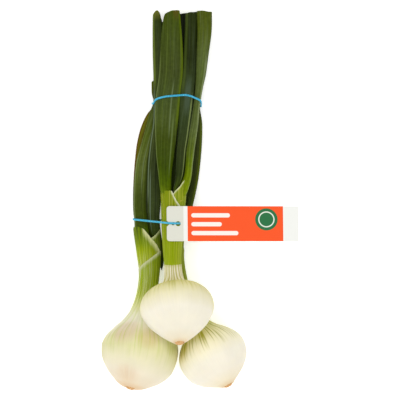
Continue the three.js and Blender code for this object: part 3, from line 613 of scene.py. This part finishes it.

# Each leaf's stations: distance along Y, middle X, middle Z, half width, half thickness, and roll in
# degrees. A stripe has its place across the blade from -1 to 1 and its half width, its two ends along Y, a
# colour and an amount. Some stripes are the leaf's own tint, such as the brown of a cut end; the others are
# painted highlights along edges and ridges and painted shade along facets and in the gaps between leaves.
# Bloom is the colour and amount of the wax. The leaves go from the top layer to the lowest, because an
# upper leaf presses its shape into those under it.
leaves = {
    "front_leaf_wide": {
        "slot": "leaf_wide",
        "stations": [
            [105, -6.6, 29, 2.7, 4, 0], [113, -7.1, 27.6, 3.2, 4, 0], [119, -8, 26.6, 4.1, 4, 0],
            [130, -8.5, 25, 4.9, 3.5, 2], [143.5, -8.4, 23.4, 6.5, 3.2, 6], [156, -7.9, 21.8, 7.7, 3, 10],
            [168, -7.4, 20, 8.7, 2.8, 14], [185, -6.2, 18.4, 9.3, 2.6, 15],
            [203, -4.1, 17.6, 8.9, 2.6, 12], [218, -3.8, 17, 8.5, 2.7, 8], [234, -3.7, 16.4, 7.4, 2.8, 4],
            [249.2, -3.4, 16, 5.6, 2.9, 0],
        ],
        "slant": 1.4, "tip": 1.6, "phase": 0.3,
        # pale lines along the edges and ridges: painted highlights; the last stripe: the brown of the cut
        # end
        "tintsHighlightsAndShade": [
            (0.97, 0.22, 166, 250, "627508", 0.6), (-0.97, 0.12, 125, 215, "7c8c48", 0.45),
            (0.35, 0.09, 160, 196, "76855c", 0.5), (0.62, 0.1, 130, 172, "6d7f4a", 0.5),
            (-0.35, 0.08, 170, 235, "5c6c2c", 0.4), (0.5, 0.5, 246.5, 256, "6a4a1c", 0.6),
        ],
        "stops": [
            (105, "7a8c06"), (117, "627604"), (124, "4e6402"), (136, "3e5004"), (156, "3f4d0c"),
            (170, "495720"), (185, "435120"), (205, "3f4a19"), (228, "404d14"), (249, "425106"),
        ],
        "bloom": ("66734a", 0.35),
    },
    "front_leaf_middle": {
        "slot": "leaf_dark",
        "stations": [
            [106, -2.2, 28.6, 1.2, 3.4, 0], [118, -1, 27.2, 1.7, 3.4, 0], [128, 1.8, 25.6, 2.6, 3, 0],
            [135.8, 2.6, 24.6, 3.1, 2.8, 0], [148, 3.4, 23.2, 3.5, 2.7, 0], [156, 4.4, 22.4, 3.9, 2.6, 0],
            [168, 5.7, 21.6, 4.3, 2.6, 0], [180, 6.8, 21, 4.7, 2.6, -4], [193, 7.8, 20, 5, 2.5, -6],
            [203, 8.8, 18.8, 4.8, 2.4, -6], [234, 10.3, 14.6, 4.6, 2.4, 0], [248.2, 10.6, 13, 4.4, 2.4, 0],
        ],
        "slant": 0.8, "tip": 0.8, "phase": 1.1,
        "tintsHighlightsAndShade": [
            (0.75, 0.16, 125, 185, "8c9a5c", 0.6), (0.1, 0.6, 176, 198, "4a5a46", 0.6),
            (-0.7, 0.3, 190, 256, "4c5c22", 0.5),
        ],
        "stops": [
            (106, "55680f"), (130, "323f18"), (150, "343f19"), (168, "32401c"), (180, "384523"),
            (198, "323e1c"), (215, "232c0b"), (249, "29330c"),
        ],
        "bloom": ("55644a", 0.3),
    },
    "front_leaf_bright": {
        "slot": "leaf_bright",
        "stations": [
            [105, 2, 28.4, 2.7, 4, 0], [113, 3, 27.2, 3, 4, 0], [119, 4.6, 26.2, 3.9, 3.8, 0],
            [128, 7.9, 24.2, 2.9, 3.6, 0], [135.6, 8.9, 23, 2.7, 3.5, 0], [148, 9.9, 21, 3.2, 3.3, 0],
            [156, 10.9, 19.8, 3.4, 3.2, 0], [168, 12.8, 18, 3.1, 3.1, 0], [180, 14.3, 17, 2.7, 3.1, 0],
            [193, 16.2, 16.2, 3, 3, 0], [203, 17.5, 15.8, 3.9, 3, 0], [218, 18.8, 15, 4.6, 2.9, 0],
            [234, 20, 14.4, 5.5, 2.9, 0], [249, 20, 14, 5.8, 2.9, 0],
        ],
        "slant": -0.3, "tip": 0.5, "phase": 2.3,
        "tintsHighlightsAndShade": [
            # pale and dark lines along the facets: painted highlights and painted shade
            (0.85, 0.2, 130, 195, "86945a", 0.45), (0.1, 0.1, 140, 200, "3e4c18", 0.6),
            (-0.45, 0.1, 165, 240, "3f4d17", 0.5), (0.4, 0.08, 170, 256, "46541c", 0.5),
            (0.7, 0.2, 170, 215, "8a9668", 0.5),
        ],
        "stops": [
            (105, "7c8e04"), (122, "7a8e04"), (130, "748a06"), (140, "62780c"), (150, "58681e"),
            (162, "5e6c36"), (178, "56642c"), (205, "53612a"), (215, "56632e"), (235, "4e5a14"),
            (249, "4b560a"),
        ],
        "bloom": ("78845a", 0.45),
    },
    "left_leaf_dark": {
        "slot": "leaf_dark",
        "stations": [
            [60, -10.8, 13.4, 0.9, 1.8, 0], [68, -11.6, 12.8, 2.2, 2.6, 0], [78, -13.6, 12.4, 3.6, 3, 0],
            [90, -16, 13.6, 4.2, 3.2, 0], [99, -16.8, 15.6, 4.4, 3.4, 0], [109, -16.6, 17, 5, 3.2, 0],
            [135.6, -16.2, 15.6, 5, 3, 0], [152, -14.6, 14.2, 5, 2.8, 0], [168, -12.4, 13, 5, 2.4, 0],
            [185, -11.8, 12.4, 5.2, 2.3, 0], [200, -12, 12.2, 5, 2.4, 0], [218, -12.6, 12, 4.9, 2.5, 0],
            [234, -13.6, 12, 4, 2.6, 0], [249.3, -14.6, 12, 2.9, 2.6, 0],
        ],
        "slant": 0, "tip": 3.4, "phase": 3.9,
        # pale lines on the left: painted highlights; dark lines on the right: painted shade; the last: the
        # pale tint of the cut end
        "tintsHighlightsAndShade": [
            (-0.85, 0.12, 112, 190, "75866a", 0.6), (-0.55, 0.1, 90, 130, "6f8070", 0.6),
            (0.3, 0.3, 95, 170, "1c240c", 0.5), (-0.85, 0.3, 195, 262, "66762c", 0.7),
            (0.5, 0.3, 225, 262, "222c06", 0.5), (0, 1.2, 247, 258, "8a8a34", 0.7),
        ],
        "stops": [
            (60, "27340c"), (84, "37450c"), (100, "3a4720"), (115, "3b4720"), (140, "343e18"),
            (158, "404a1b"), (180, "3a4616"), (215, "353e18"), (249, "2e3a08"),
        ],
        "bloom": ("5a6848", 0.3),
    },
    "right_leaf_middle": {
        "slot": "leaf_dark",
        "stations": [
            [77, -3.6, 14.6, 2.5, 2, 0], [86, -3.2, 15.2, 2.9, 2.2, 0], [98, -0.6, 16, 5, 2.7, 0],
            [112, 1.2, 16, 6.2, 3, 0], [135, 2.4, 15, 6.8, 3.2, 0], [156, 3.2, 13.6, 6.8, 3.6, 0],
            [185, 3.6, 12, 6.6, 3.8, 0], [215, 4.4, 10, 6.8, 3.2, 0], [247.4, 5.2, 7.6, 6.2, 2.6, 0],
        ],
        "slant": 0.2, "tip": 0.5, "phase": 5.2,
        "tintsHighlightsAndShade": [],
        "stops": [(77, "5a6c14"), (100, "3c4a12"), (130, "2c3810"), (200, "1c240a"), (248, "14190a")],
        "bloom": ("3c4a30", 0.4),
    },
    "right_leaf_outer": {
        "slot": "leaf_dark",
        "stations": [
            [77, 1.3, 12.6, 1.9, 3, 0], [86, 2.3, 12.6, 2.2, 3, 0], [98, 6.6, 12.8, 3.4, 3, 0],
            [108, 8.2, 12.4, 3.8, 3, 0], [116, 9.6, 11.9, 4.3, 2.9, 0], [128, 11.6, 11.3, 4.5, 2.8, 0],
            [143.5, 13.2, 10.6, 4.6, 2.7, 0], [156, 14, 10.2, 4.6, 2.7, 0], [168, 14.2, 9.8, 4.4, 2.7, 0],
            [180, 13.4, 9.8, 3.5, 2.6, 0], [193, 14, 9.6, 3.8, 2.6, 0], [215, 15.4, 8.4, 4.2, 2.5, 0],
            [246.4, 16, 7, 4.4, 2.4, 0],
        ],
        "slant": -0.4, "tip": 0.5, "phase": 0.9,
        "tintsHighlightsAndShade": [(0.8, 0.25, 110, 170, "56640f", 0.6), (-0.2, 0.4, 95, 165, "1d260a", 0.5)],
        "stops": [
            (77, "5f7210"), (98, "42500f"), (120, "2f380c"), (150, "363f10"), (170, "3c4614"),
            (246, "333c16"),
        ],
        "bloom": ("4d5a36", 0.4),
    },
    "left_leaf_broad": {
        "slot": "leaf_wide",
        "stations": [
            [78, -23.8, 15, 4.4, 3.4, 0], [90, -25.3, 14.2, 5.2, 3.6, 0], [98.5, -26, 13.2, 5, 3.3, 0],
            [109, -26.6, 12.4, 4.9, 3.2, 0], [135.6, -25.2, 11, 4.7, 3, 0], [152, -21.6, 9.8, 4.4, 2.7, 0],
            [164, -18.1, 8.8, 4.5, 2.5, 0], [175, -15, 8, 4.6, 2.3, 0], [184, -12.2, 7.8, 4.6, 2.2, 0],
            [215, -11.5, 7.2, 5.8, 2.2, 0], [241, -10.8, 6.6, 6, 2.3, 0],
        ],
        "slant": 0.6, "tip": 0.5, "phase": 4.4,
        # pale lines: painted highlights; the dark line at the right edge: painted shade
        "tintsHighlightsAndShade": [
            (-0.9, 0.16, 90, 150, "7d8c50", 0.5), (0.15, 0.12, 120, 165, "75835a", 0.5),
            (0.8, 0.3, 95, 150, "39470f", 0.5),
        ],
        "stops": [
            (78, "667c0c"), (84, "566c08"), (90, "475c09"), (94, "404f0c"), (112, "404d11"),
            (124, "4f5c1e"), (134, "5b6829"), (148, "54611c"), (158, "505f17"), (175, "48541a"),
            (241, "3f4a1a"),
        ],
        "bloom": ("727e50", 0.4),
    },
    "right_leaf_low": {
        "slot": "leaf_dark",
        "stations": [
            [77, -3.2, 9.4, 3.1, 1.7, 0], [86, -2.8, 9, 3.3, 1.8, 0], [98, 0.6, 7.8, 5.4, 2.2, 0],
            [112, 3, 6.4, 6.6, 2.3, 0], [135, 4.8, 5.2, 7, 2.3, 0], [156, 5.2, 4.8, 7, 2.4, 0],
            [185, 4.6, 4.8, 7, 2.5, 0], [215, 4.6, 3.5, 7.4, 2.5, 0], [246.5, 5, 2.4, 7.2, 2.4, 0],
        ],
        "slant": -0.6, "tip": 0.5, "phase": 2.9,
        "tintsHighlightsAndShade": [],
        "stops": [(77, "5a6c14"), (100, "42520f"), (140, "3c4a14"), (247, "3a4818")],
        "bloom": ("56633f", 0.4),
    },
    "left_leaf_olive": {
        "slot": "leaf_olive",
        "stations": [
            [78, -22, 9.2, 4.4, 1.7, 0], [88, -23, 8.4, 4.8, 1.8, 0], [99, -25.4, 7, 5.8, 2.3, 0],
            [110, -26, 6.2, 5.9, 2.4, 0], [128, -25.6, 5.4, 5.8, 2.4, 0], [148, -24, 4.6, 5.7, 2.2, 0],
            [157.5, -22.3, 4.2, 5.7, 2, 0], [165.4, -20, 4, 5.7, 1.8, 0], [173.7, -16.4, 3.8, 5.4, 1.6, 0],
            [181, -12.4, 3.7, 4.3, 1.5, 0], [189, -13, 3.7, 5.2, 1.5, 0], [198, -13.6, 3.6, 4.8, 1.5, 0],
        ],
        "slant": -1.2, "tip": 1.5, "phase": 1.9,
        "tintsHighlightsAndShade": [(-0.97, 0.12, 128, 182, "6a420c", 0.7), (-0.7, 0.2, 130, 180, "6a6a0c", 0.6)],
        "stops": [
            (78, "5f7010"), (110, "55600e"), (130, "5d5a0e"), (150, "5c5008"), (170, "5a560c"),
            (198, "4e5a12"),
        ],
        "bloom": ("6f6a30", 0.3),
    },
}
# What the leaves share, in mm. The veins are waves across the blade: each has a height, radians in a
# millimetre, and how much the leaf's phase and its slow sway along the blade shift it.
leafShape = {
    "rows": 150, "columns": 72, "innerRows": 30, "wall": 0.7, "hollowFrom": 0.35, "lip": 0.12,
    "cutFade": 12.0, "clearance": 0.3, "lowest": 0.15, "dentRounds": 5,
    "veins": [(0.09, 3.4, 1, 0.6), (0.16, 1.15, 2, 1)], "bend": 0.2, "ragged": 0.25,
}


def leafSections(leaf, y):
    # middle x, middle z, half width, half thickness and roll in radians at distances y
    values = tableAt(leaf["stations"], y)
    return values[..., 1], values[..., 2], values[..., 3], values[..., 4], np.radians(values[..., 5])


def pressUnder(points, uppers):
    # Where a point lies inside an upper leaf's section, it moves out to the section's rim: straight away
    # from the middle if it lies below it, straight down if it lies above it and well inside, or else
    # sideways.
    for upper in uppers:
        y = points[..., 1]
        stations = np.asarray(upper["stations"])
        over = (y > stations[0, 0]) & (y < stations[-1, 0] + 0.5)
        middleX, middleZ, wide, thick, roll = leafSections(upper, y)
        wide, thick = wide + leafShape["clearance"], thick + leafShape["clearance"]
        dx, dz = points[..., 0] - middleX, points[..., 2] - middleZ
        u = (dx * np.cos(roll) + dz * np.sin(roll)) / wide
        v = (dz * np.cos(roll) - dx * np.sin(roll)) / thick
        reach = np.hypot(u, v)
        inside = over & (reach < 1)
        grow = np.maximum(reach, 0.02)
        deep = np.abs(u) < 0.5
        newU = np.where(v <= 0, u / grow, np.where(deep, u, np.sign(u) * np.sqrt(np.maximum(0, 1 - v**2))))
        newV = np.where(v <= 0, v / grow, np.where(deep, -np.sqrt(np.maximum(0, 1 - u**2)), v))
        newU, newV = np.where(inside, newU, u), np.where(inside, newV, v)
        points[..., 0] = middleX + newU * wide * np.cos(roll) - newV * thick * np.sin(roll)
        points[..., 2] = middleZ + newU * wide * np.sin(roll) + newV * thick * np.cos(roll)
    return points


def leafTube(leaf, uppers):
    # A flattened tube along Y: half width times the cosine and half thickness times the sine of the angle,
    # both a wall less inside, with the crests of its veins as a sum of cosines across it, and a slow wave
    # along it. The top end is open, and cut at a slant that falls off to both edges.
    start, end = leaf["stations"][0][0], leaf["stations"][-1][0]
    hollow = start + leafShape["hollowFrom"] * (end - start)
    wall, lip = leafShape["wall"], end + leafShape["lip"]
    outer = start + (end - start) * np.linspace(0, 1, leafShape["rows"])
    inner = end + (hollow - end) * np.linspace(0, 1, leafShape["innerRows"])
    rows = np.concatenate([outer, [lip, lip], inner])[:, None]
    inset = np.concatenate([0 * outer, [0.25 * wall, 0.75 * wall], wall + 0 * inner])[:, None]
    close = np.sqrt(smooth(start - 0.5, start + 5, np.where(inset > 0, end, rows)))
    angle = around(leafShape["columns"])
    middleX, middleZ, wide, thick, roll = leafSections(leaf, rows)
    phase = leaf["phase"]
    across = np.cos(angle)
    sway = 0.5 * np.sin(rows / 23 + phase) + 0.3 * np.sin(rows / 9 + 2 * phase)
    vein = 0
    for height, waves, shift, swayed in leafShape["veins"]:
        vein = vein + height * np.cos(wide * across * waves + shift * phase + swayed * sway)
    x = np.maximum(0, wide - inset) * across * close
    z = (np.maximum(0, thick - inset) + vein * np.abs(np.sin(angle))) * np.sin(angle) * close
    z = z + leafShape["bend"] * np.sin(rows / 14 + phase) * smooth(start, start + 20, rows)
    cut = leaf["slant"] * x / wide * smooth(end - leafShape["cutFade"], end, rows)
    cut = cut + leafShape["ragged"] * np.sin(3 * angle + phase) * smooth(end - 2, end, rows)
    cut = cut - leaf["tip"] * np.abs(across) ** 2.5 * smooth(end - 2.5 * leaf["tip"], end, rows)
    turnedX, turnedZ = x * np.cos(roll) - z * np.sin(roll), x * np.sin(roll) + z * np.cos(roll)
    points = triples(middleX + turnedX, rows + cut, middleZ + turnedZ)
    pressed = pressUnder(points.copy(), uppers) - points
    for _ in range(leafShape["dentRounds"]):  # round off the dents along the leaf and across it
        pressed[1:-1] = (pressed[:-2] + 2 * pressed[1:-1] + pressed[2:]) / 4
        pressed = (np.roll(pressed, 1, axis=1) + 2 * pressed + np.roll(pressed, -1, axis=1)) / 4
    points = points + pressed
    points[..., 2] = np.maximum(points[..., 2], leafShape["lowest"])
    blade = triples(wide * across, smooth(0, 0.6 * wall, inset), rows)
    return points, [("blade", blade), ("side", triples(across, np.sin(angle), 0))]


def leafMaterial(name, leaf):
    # Spring onion leaf: a smooth hollow blade that grew a thin coat of wax. Dark green with paler veins
    # along it and grey-green streaks where the wax is thick, a satin gloss, and a pale cut edge.
    material, add, shader = newMaterial(name, {"Roughness": 0.48, "IOR": 1.42, "Specular IOR Level": 0.06})
    first, final = leaf["stops"][0][0], leaf["stops"][-1][0]
    blade = add("Attribute", attribute_name="blade").outputs["Vector"]
    _, cutFace, away = add("SeparateXYZ", [blade]).outputs  # away is the distance along Y, mm
    side = add("Attribute", attribute_name="side").outputs["Vector"]
    across = add("SeparateXYZ", [side])
    place = add("TexCoord").outputs["Object"]
    # veins 0.5 mm apart, and streaks of wax 1.6 mm wide and 40 mm long
    thin = add("VectorMath MULTIPLY", [blade, (2, 1, 0.012)])
    vein = add("TexNoise", {"Vector": thin, "Scale": 1, "Detail": 3})
    wide = add("VectorMath MULTIPLY", [blade, (0.6, 1, 0.025)])
    streak = add("TexNoise", {"Vector": wide, "Scale": 1, "Detail": 4, "Roughness": 0.6})
    wander = add("Math MULTIPLY_ADD", [streak, 10, -5])
    along = add("Math ADD", [away, wander])
    scaled = add("MapRange", [along, first, final])
    base = add("ValToRGB", [scaled], [((d - first) / (final - first), c) for d, c in leaf["stops"]])
    tone = add("MapRange", [vein, 0.3, 0.7, 0.6, 1.2])
    # paler and darker patches about 2 mm wide, where the flesh is uneven
    patch = add("TexNoise", {"Vector": place, "Scale": 450, "Detail": 3})
    dapple = add("MapRange", [patch, 0.3, 0.7, 0.86, 1.12])
    uneven = add("Math MULTIPLY", [tone, dapple])
    veined = add("VectorMath SCALE", [base, uneven])
    tint, amount = leaf["bloom"]
    onBlade = add("MapRange", [away, first + 25, first + 60, 0, amount])
    waxy = add("MapRange", [streak, 0.5, 0.72])
    wax = add("Math MULTIPLY", [onBlade, waxy])
    colour = add("Mix RGBA", [wax, veined, linear(tint)])
    for middle, half, low, high, tint, amount in leaf["tintsHighlightsAndShade"]:  # a line of colour along the blade: the leaf's own tint, painted highlight and painted shade, stripe by stripe
        off = add("Math SUBTRACT", [across, middle])
        size = add("Math ABSOLUTE", [off])
        line = add("MapRange SMOOTHSTEP", [size, half, 0.3 * half, 0, amount])
        begin = add("MapRange", [along, low - 5, low + 5])
        finish = add("MapRange", [along, high + 5, high - 5])
        window = add("Math MULTIPLY", [begin, finish])
        shown = add("Math MULTIPLY", [line, window])
        colour = add("Mix RGBA", [shown, colour, linear(tint)])
    cutEdge = add("Mix RGBA", [cutFace, colour, linear("7f8f3c")])
    # cells in short cross rows, about 0.4 mm, drawn as coarse as they show
    cells = add("VectorMath MULTIPLY", [place, (1400, 2600, 1400)])
    grain = add("TexNoise", {"Vector": cells, "Scale": 1, "Detail": 1})
    height = add("Math MULTIPLY_ADD", [vein, 3, grain])
    relief = add("Bump", {"Height": height, "Strength": 0.3, "Distance": 0.2 * mm})
    setInputs(shader, {"Base Color": cutEdge, "Normal": relief})
    return material


uppers, held = [], []
for name, leaf in leaves.items():
    points, values = leafTube(leaf, uppers)
    piece = ringMesh(f"{name}_blade", points, leafMaterial(f"leaf blade, {name}", leaf), values)
    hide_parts(name)
    uppers.append(leaf)
    held.append(points[: leafShape["rows"]])
print("leaves made")

# The tag keeps its shape from the frame, whose edges and holes are already as fine as the photo shows. Its
# print is in mm from the middle of its left end: the disc and each bar have a middle, then a radius, or
# half a length and half a height.
tag = {
    "thickness": 0.5, "left": -7.2, "middle": 94.1, "height": 41, "slotEnds": (1.9, 6.4),
    "pitch": 12, "roll": 3, "yaw": 0.6, "blur": 0.15, "card": ("dfdfd2", "f3f4ee"), "ringColour": "e9efdf",
    "panel": (15.1, 84.7), "panelColour": "fb561c", "disc": (72.6, 3.2, 8.1), "discColour": "23703f",
    "bars": [(32, 6.2, 12.5, 1.5), (29, -0.4, 9.5, 1.5), (35, -7.0, 15.5, 1.5)], "barColour": "fbf3ea",
}
tagPlace = np.array([tag["left"], tag["middle"], tag["height"]])
tagTurn = Matrix.Identity(3)
for angle, axis in (-tag["pitch"], "X"), (tag["roll"], "Y"), (tag["yaw"], "Z"):
    tagTurn = tagTurn @ Matrix.Rotation(np.radians(angle), 3, axis)


def tagMaterial():
    # Coated card: white board, cut flat from the sheet and offset printed. Even colour, a satin coat, and
    # print with crisp edges. Its print here is plain: an orange panel, pale bars and a disc with a ring.
    material, add, shader = newMaterial("printed coated card", {"Specular IOR Level": 0.2})
    place, blur = add("TexCoord").outputs["Object"], tag["blur"]
    local = add("Mapping TEXTURE", {
        "Vector": place, "Location": tuple(toFrame(tagPlace)),
        "Rotation": tuple(tagTurn.to_euler("XYZ")), "Scale": (mm, mm, mm),
    })
    tagX, tagY, tagZ = add("SeparateXYZ", [local]).outputs
    flat = add("CombineXYZ", [tagX, tagY])
    top = add("MapRange", [tagZ, 0.05, 0.15])
    left, right = tag["panel"]
    stock = add("MapRange", [tagX, left - 3.2, left - 2.6])
    card = add("Mix RGBA", [stock, *map(linear, tag["card"])])
    fromLeft = add("MapRange", [tagX, left, left + blur])
    toRight = add("MapRange", [tagX, right + blur, right])
    panel = add("Math MULTIPLY", [fromLeft, toRight])
    prints = [(panel, tag["panelColour"])]
    for x, y, half, tall in tag["bars"]:  # a rounded bar: closer than its half height to a segment
        aside = add("VectorMath SUBTRACT", [flat, (x, y, 0)])
        folded = add("VectorMath ABSOLUTE", [aside])
        past = add("VectorMath SUBTRACT", [folded, (half, 0, 0)])
        only = add("VectorMath MAXIMUM", [past, (0, 0, 0)])
        far = add("VectorMath LENGTH", [only])
        prints.append((add("MapRange", [far, tall + blur, tall]), tag["barColour"]))
    x, y, radius = tag["disc"]
    away = add("VectorMath DISTANCE", [flat, (x, y, 0)])
    prints.append((add("MapRange", [away, radius + blur, radius]), tag["discColour"]))
    ringAt = add("Math SUBTRACT", [away, radius * 0.68])
    ringOff = add("Math ABSOLUTE", [ringAt])
    prints.append((add("MapRange", [ringOff, 0.5, 0.35]), tag["ringColour"]))
    colour = card
    for shape, ink in prints:  # one ink over the other, on the top side alone
        shown = add("Math MULTIPLY", [shape, top])
        colour = add("Mix RGBA", [shown, colour, linear(ink)])
    grain = add("TexNoise", {"Vector": local, "Scale": 3, "Detail": 2})  # the board's fibres, 0.3 mm
    gloss = add("MapRange", [grain, 0, 1, 0.34, 0.46])
    setInputs(shader, {"Base Color": colour, "Roughness": gloss})
    return material


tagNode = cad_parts["label_tag"]
tagNode.data.materials.clear()
tagNode.data.materials.append(tagMaterial())
print("tag finished")

# each band leans along the bunch and bends up it above a height
bands = {
    "elastic_band_upper": {"base": 180.7, "leanX": -0.06, "leanZ": 0.75, "bendZ": 14},
    "elastic_band_lower": {"base": 96.2, "leanX": -0.04, "leanZ": -0.06, "bendZ": 10},
}
bandShape = {
    "width": 1.45, "thickness": 1.1, "clearance": 0.05, "directions": 720, "steps": 420, "columns": 20,
    "squareness": 0.7,  # below 1 fills the section's corners
    "rounding": 4,  # steps to each side over which the loop's corners are rounded off
}


def bandMaterial():
    # Elastic band: natural rubber, cut from a dyed tube and dusted with talc. Even light blue, matt, with
    # a fine pale bloom of powder.
    material, add, shader = newMaterial("dyed rubber band", {
        "Roughness": 0.55, "IOR": 1.52, "Specular IOR Level": 0.3,
        "Subsurface Weight": 0.1, "Subsurface Radius": (0.4, 0.7, 1.0), "Subsurface Scale": 0.0006,
    })
    place = add("TexCoord").outputs["Object"]
    # the powder in patches of 1.1 mm, drawn as coarse as it shows
    dust = add("TexNoise", {"Vector": place, "Scale": 900, "Detail": 4})
    base = add("ValToRGB", [dust], [(0.3, "30a2c6"), (0.55, "42b4d8"), (0.75, "78cbe2")])
    relief = add("Bump", {"Height": dust, "Strength": 0.2, "Distance": 0.1 * mm})
    setInputs(shader, {"Base Color": base, "Normal": relief})
    return material


def band(name, shape, grids, extra, material):
    # A tight loop on the surface y = base + leanX x + leanZ (height above the bend): in each direction
    # round it lies outside the furthest held point, so it runs straight from one to the next. A rounded
    # flat section is carried along it.
    def surfaceY(x, z):
        return shape["base"] + shape["leanX"] * x + shape["leanZ"] * np.maximum(0, z - shape["bendZ"])

    def rounded(part, size):  # a cosine or sine drawn out towards the corners
        return np.sign(part) * np.abs(part) ** bandShape["squareness"] * size / 2

    under = [np.asarray(extra, float).reshape(-1, 3)]
    for grid in grids:
        off = grid[..., 1] - surfaceY(grid[..., 0], grid[..., 2])
        crossing = off[:-1] * off[1:] < 0
        share = (off[:-1] / np.where(crossing, off[:-1] - off[1:], 1))[..., None]
        under.append((grid[:-1] + share * (grid[1:] - grid[:-1]))[crossing])
    under = np.vstack(under)[:, [0, 2]]
    angle = around(bandShape["directions"])[0]
    outward = np.stack([np.cos(angle), -np.sin(angle)], -1)
    furthest = under[(outward @ under.T).argmax(1)]
    loop = furthest + outward * (bandShape["clearance"] + bandShape["thickness"] / 2)
    loop = evenSteps(np.vstack([loop, loop[:1]]), bandShape["steps"] + 1)[:-1]
    reach = bandShape["rounding"]
    spread = np.exp(-np.linspace(-2, 2, 2 * reach + 1) ** 2)
    loop = sum(np.roll(loop, k - reach, axis=0) * w for k, w in enumerate(spread / spread.sum()))
    middle = triples(loop[:, 0], surfaceY(loop[:, 0], loop[:, 1]), loop[:, 1])
    along = np.roll(middle, -1, axis=0) - np.roll(middle, 1, axis=0)
    along /= np.linalg.norm(along, axis=1)[:, None]
    across = triples(-shape["leanX"], 1, np.where(middle[:, 2] > shape["bendZ"], -shape["leanZ"], 0))
    across = across - along * np.einsum("ij,ij->i", across, along)[:, None]
    across /= np.linalg.norm(across, axis=1)[:, None]
    out = np.cross(along, across)
    angle = around(bandShape["columns"])[..., None]
    wide, tall = rounded(np.cos(angle), bandShape["width"]), rounded(np.sin(angle), bandShape["thickness"])
    rings = middle[:, None] + across[:, None] * wide + out[:, None] * tall
    piece = ringMesh(f"{name}_rubber", rings, material, looped=True)
    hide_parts(name)


rubber = bandMaterial()
slotPoints = [tagPlace + np.array(tagTurn) @ [x, 0, tag["thickness"] / 2] for x in tag["slotEnds"]]
band("elastic_band_upper", bands["elastic_band_upper"], held, [], rubber)
band("elastic_band_lower", bands["elastic_band_lower"], held + necks, slotPoints, rubber)
print("bands made")

# a white floor, light from all sides and above, and a camera straight above that is almost parallel
studio = {
    "floorSize": 6.0, "floorDrop": 0.0002, "floorColour": "fbfbfa", "floorGlow": 0.4,
    "skyStrength": 0.49, "sunStrength": 1.75, "sunAngle": 60.0, "sunTurn": (5, -3, 0),
    "cameraHeight": 10.0, "frameWidth": 0.292, "sensor": 36.0, "clip": (1.0, 60.0),
}
white = (1.0, 1.0, 1.0, 1.0)


def placed(name, data):
    # an object in the scene that holds this data
    made = bpy.data.objects.new(name, data)
    bpy.context.scene.collection.objects.link(made)
    return made


half = studio["floorSize"] / 2
floorMesh = bpy.data.meshes.new("floor")
corners = [(x * half, y * half, -studio["floorDrop"]) for x, y in ((-1, -1), (1, -1), (1, 1), (-1, 1))]
floorMesh.from_pydata(corners, [], [(0, 1, 2, 3)])
floorFinish, _, _ = newMaterial("painted studio floor", {
    "Base Color": linear(studio["floorColour"]), "Roughness": 0.9, "Specular IOR Level": 0.0,
    "Emission Color": white, "Emission Strength": studio["floorGlow"],
})
floorMesh.materials.append(floorFinish)
floor = placed("floor", floorMesh)

world = bpy.data.worlds.new("studio")
world.use_nodes = True
setInputs(world.node_tree.nodes["Background"], {"Color": white, "Strength": studio["skyStrength"]})
bpy.context.scene.world = world

sunData = bpy.data.lights.new("soft box", "SUN")
sunData.energy = studio["sunStrength"]
sunData.angle = np.radians(studio["sunAngle"])
sun = placed("soft box", sunData)
sun.rotation_euler = np.radians(studio["sunTurn"])

cameraData = bpy.data.cameras.new("camera")
cameraData.sensor_width = studio["sensor"]
cameraData.lens = studio["sensor"] * studio["cameraHeight"] / studio["frameWidth"]
cameraData.clip_start, cameraData.clip_end = studio["clip"]
camera = placed("camera", cameraData)
camera.location = (0, 0, studio["cameraHeight"])
bpy.context.scene.camera = camera
bpy.context.scene.view_settings.view_transform = "Standard"
print("studio made,", len(pieces), "new pieces")
